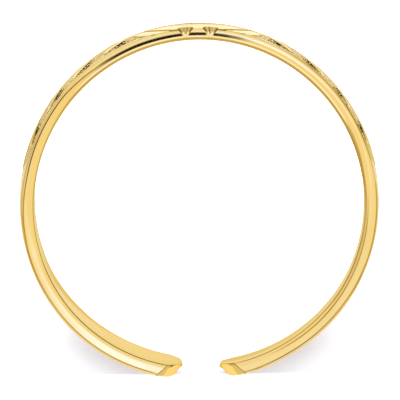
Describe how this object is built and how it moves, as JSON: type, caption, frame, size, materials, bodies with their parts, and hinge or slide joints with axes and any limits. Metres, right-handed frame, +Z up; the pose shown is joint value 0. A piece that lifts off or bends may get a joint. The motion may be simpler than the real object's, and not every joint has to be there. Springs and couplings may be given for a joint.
{
  "type": "toe ring",
  "caption": "Open, adjustable toe ring: a slim domed gold band with a gap between two rounded ends, a leaf-patterned front and a pointed knot at its crown.",
  "frame": {"origin": "middle of the ring, on the surface that its lower rim lies on", "axes": "+Z up along the toe, square to the plane of the ring; +Y towards the patterned crown, -Y towards the gap between the ends"},
  "size_m": [0.0164, 0.0164, 0.0026],
  "materials": {
    "gold": "polished"
  },
  "bodies": {
    "root": {"band": "gold"}
  },
  "joints": []
}
